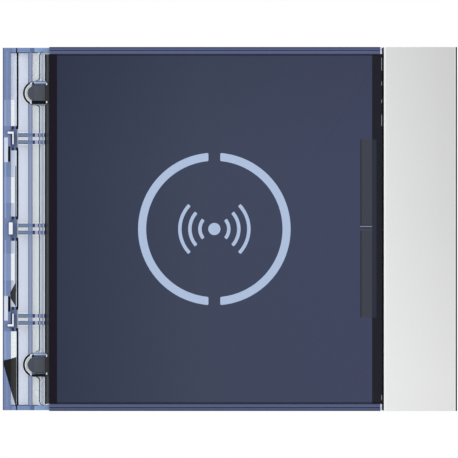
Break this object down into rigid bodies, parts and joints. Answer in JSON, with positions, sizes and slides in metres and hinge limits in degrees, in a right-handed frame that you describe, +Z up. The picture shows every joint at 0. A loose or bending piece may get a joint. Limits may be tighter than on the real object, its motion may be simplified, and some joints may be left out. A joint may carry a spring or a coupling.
{
  "type": "rfid card reader",
  "caption": "Entrance-panel card reader module: dark lens with a contactless pictogram, clear moulded side flange and aluminium strip on a push-fit cover, electronics behind.",
  "frame": {"origin": "middle of the module on its seating plane, the back face of the module's flange", "axes": "+X to the right seen from the front, +Z up, the front faces -Y"},
  "size_m": [0.115, 0.037, 0.0922],
  "materials": {
    "clear_blue": "clear moulded polycarbonate, pale blue tint",
    "dark_grey_plastic": "moulded, fine matt",
    "navy_lens": "smooth, dark blue tint",
    "black_tape": "foam tape",
    "symbol_blue": "flush translucent inlay",
    "diffuser_white": "milky",
    "smoke_grey": "smoked light guide",
    "satin_aluminium": "fine satin",
    "black_plastic": "moulded, fine matt",
    "housing_grey": "moulded, fine spark texture",
    "lid_grey": "moulded, fine matt",
    "seal_rubber": "soft foam rubber",
    "screw_steel": "zinc plated",
    "board_green": "solder mask on glass laminate",
    "copper_track": "bare copper",
    "ferrite": "sintered sheet",
    "chip_black": "moulded package",
    "tinned_metal": "tin plated",
    "brass_contact": "plated",
    "connector_cream": "moulded nylon",
    "terminal_green": "moulded nylon",
    "button_white": "moulded",
    "dip_red": "moulded",
    "lamp_white": "moulded lamp body",
    "flap_rubber": "soft",
    "relay_blue": "moulded case"
  },
  "bodies": {
    "reader_module": {"rear_housing": "housing_grey", "perimeter_gasket": "seal_rubber", "front_lid": "lid_grey", "lid_screws": "screw_steel", "board_screws": "screw_steel", "main_board": "board_green", "antenna_board": "board_green", "antenna_coil": "copper_track", "ferrite_sheet": "ferrite", "board_header": "chip_black", "symbol_leds": "lamp_white", "bar_leds": "lamp_white", "reader_chip": "chip_black", "controller_chip": "chip_black", "crystal": "tinned_metal", "filter_capacitors": "tinned_metal", "power_inductor": "ferrite", "relay": "relay_blue", "buzzer": "black_plastic", "bus_socket_in": "connector_cream", "bus_socket_out": "connector_cream", "bus_contacts": "brass_contact", "usb_socket": "tinned_metal", "dip_switch": "dip_red", "reset_switch": "chip_black", "terminal_header": "terminal_green", "header_pins": "tinned_metal", "flap_hinge": "housing_grey"},
    "front_cover": {"clear_carrier": "clear_blue", "backing_frame": "dark_grey_plastic", "face_lens": "navy_lens", "lens_tapes": "black_tape", "symbol_ring": "symbol_blue", "symbol_waves": "symbol_blue", "symbol_dot": "symbol_blue", "symbol_diffuser": "diffuser_white", "light_bar_upper": "smoke_grey", "light_bar_lower": "smoke_grey", "trim_strip": "satin_aluminium", "trim_core": "black_plastic"},
    "reset_button": {"reset_button": "button_white"},
    "service_flap": {"usb_flap": "flap_rubber"},
    "terminal_plug": {"terminal_plug": "terminal_green", "plug_contacts": "brass_contact"},
    "setting_slider_1": {"dip_slider_1": "button_white"},
    "setting_slider_2": {"dip_slider_2": "button_white"},
    "setting_slider_3": {"dip_slider_3": "button_white"},
    "setting_slider_4": {"dip_slider_4": "button_white"},
    "clamp_screw_1": {"terminal_screw_1": "screw_steel"},
    "clamp_cage_1": {"terminal_cage_1": "brass_contact"},
    "clamp_screw_2": {"terminal_screw_2": "screw_steel"},
    "clamp_cage_2": {"terminal_cage_2": "brass_contact"},
    "clamp_screw_3": {"terminal_screw_3": "screw_steel"},
    "clamp_cage_3": {"terminal_cage_3": "brass_contact"},
    "clamp_screw_4": {"terminal_screw_4": "screw_steel"},
    "clamp_cage_4": {"terminal_cage_4": "brass_contact"}
  },
  "joints": [
    {"name": "cover_pull", "type": "slide", "parent": "reader_module", "child": "front_cover", "axis": [0, -1, 0], "range_m": [0, 0.015]},
    {"name": "reset_press", "type": "slide", "parent": "reader_module", "child": "reset_button", "axis": [0, -1, 0], "range_m": [0, 0.00035], "stiffness_N_per_m": 400},
    {"name": "flap_swing", "type": "hinge", "parent": "reader_module", "child": "service_flap", "pos_m": [0.028, 0.01875, -0.0086], "axis": [1, 0, 0], "range_deg": [0, 110]},
    {"name": "plug_pull", "type": "slide", "parent": "reader_module", "child": "terminal_plug", "axis": [0, 1, 0], "range_m": [0, 0.01]},
    {"name": "setting_1", "type": "slide", "parent": "reader_module", "child": "setting_slider_1", "axis": [0, 0, 1], "range_m": [0, 0.0024]},
    {"name": "setting_2", "type": "slide", "parent": "reader_module", "child": "setting_slider_2", "axis": [0, 0, 1], "range_m": [0, 0.0024]},
    {"name": "setting_3", "type": "slide", "parent": "reader_module", "child": "setting_slider_3", "axis": [0, 0, 1], "range_m": [0, 0.0024]},
    {"name": "setting_4", "type": "slide", "parent": "reader_module", "child": "setting_slider_4", "axis": [0, 0, 1], "range_m": [0, 0.0024]},
    {"name": "clamp_turn_1", "type": "hinge", "parent": "terminal_plug", "child": "clamp_screw_1", "pos_m": [-0.0075, 0.024, -0.0303], "axis": [0, -1, 0], "range_deg": [0, 1440.5]},
    {"name": "clamp_rise_1", "type": "slide", "parent": "terminal_plug", "child": "clamp_cage_1", "axis": [0, 1, 0], "range_m": [0, 0.0018]},
    {"name": "clamp_turn_2", "type": "hinge", "parent": "terminal_plug", "child": "clamp_screw_2", "pos_m": [-0.0025, 0.024, -0.0303], "axis": [0, -1, 0], "range_deg": [0, 1440.5]},
    {"name": "clamp_rise_2", "type": "slide", "parent": "terminal_plug", "child": "clamp_cage_2", "axis": [0, 1, 0], "range_m": [0, 0.0018]},
    {"name": "clamp_turn_3", "type": "hinge", "parent": "terminal_plug", "child": "clamp_screw_3", "pos_m": [0.0025, 0.024, -0.0303], "axis": [0, -1, 0], "range_deg": [0, 1440.5]},
    {"name": "clamp_rise_3", "type": "slide", "parent": "terminal_plug", "child": "clamp_cage_3", "axis": [0, 1, 0], "range_m": [0, 0.0018]},
    {"name": "clamp_turn_4", "type": "hinge", "parent": "terminal_plug", "child": "clamp_screw_4", "pos_m": [0.0075, 0.024, -0.0303], "axis": [0, -1, 0], "range_deg": [0, 1440.5]},
    {"name": "clamp_rise_4", "type": "slide", "parent": "terminal_plug", "child": "clamp_cage_4", "axis": [0, 1, 0], "range_m": [0, 0.0018]}
  ],
  "couplings": [
    {"joint": "clamp_turn_1", "follows": "clamp_rise_1", "rad_per_m": 13963},
    {"joint": "clamp_turn_2", "follows": "clamp_rise_2", "rad_per_m": 13963},
    {"joint": "clamp_turn_3", "follows": "clamp_rise_3", "rad_per_m": 13963},
    {"joint": "clamp_turn_4", "follows": "clamp_rise_4", "rad_per_m": 13963}
  ]
}
